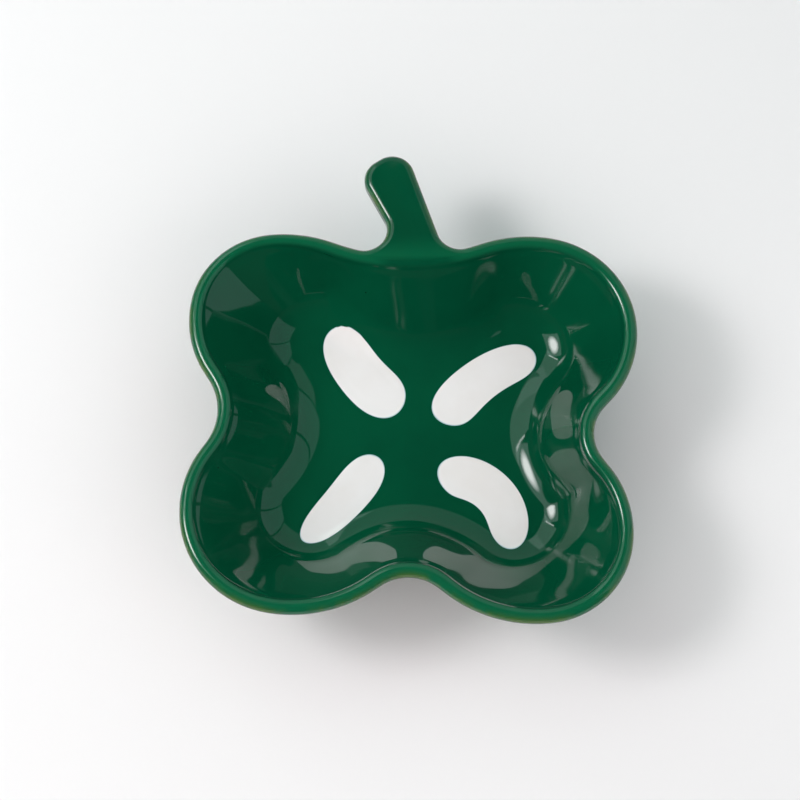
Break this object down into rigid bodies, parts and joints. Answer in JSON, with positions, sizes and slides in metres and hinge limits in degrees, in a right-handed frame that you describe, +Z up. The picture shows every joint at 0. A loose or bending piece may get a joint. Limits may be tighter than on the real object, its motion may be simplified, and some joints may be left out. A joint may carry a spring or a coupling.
{
  "type": "dipping dish",
  "caption": "Four-lobed glazed stoneware dipping dish shaped like a slice of bell pepper, with sloping walls, a rounded rim, a stem handle, white seed marks on the floor and a foot ring.",
  "frame": {"origin": "middle of the overall width and length, on the plane the foot ring stands on", "axes": "+Z up through the open top, +Y towards the stem, +X to the right when the dish is seen from above with the stem at the far side"},
  "size_m": [0.1298, 0.1414, 0.0325],
  "materials": {
    "stoneware": "bare fired clay, matt",
    "green_glaze": "glossy",
    "white_glaze": "satin"
  },
  "bodies": {
    "root": {"bowl": "stoneware", "stem": "stoneware", "foot_ring": "stoneware", "green_glaze": "green_glaze", "seed_back_left": "white_glaze", "seed_back_right": "white_glaze", "seed_front_left": "white_glaze", "seed_front_right": "white_glaze"}
  },
  "joints": []
}
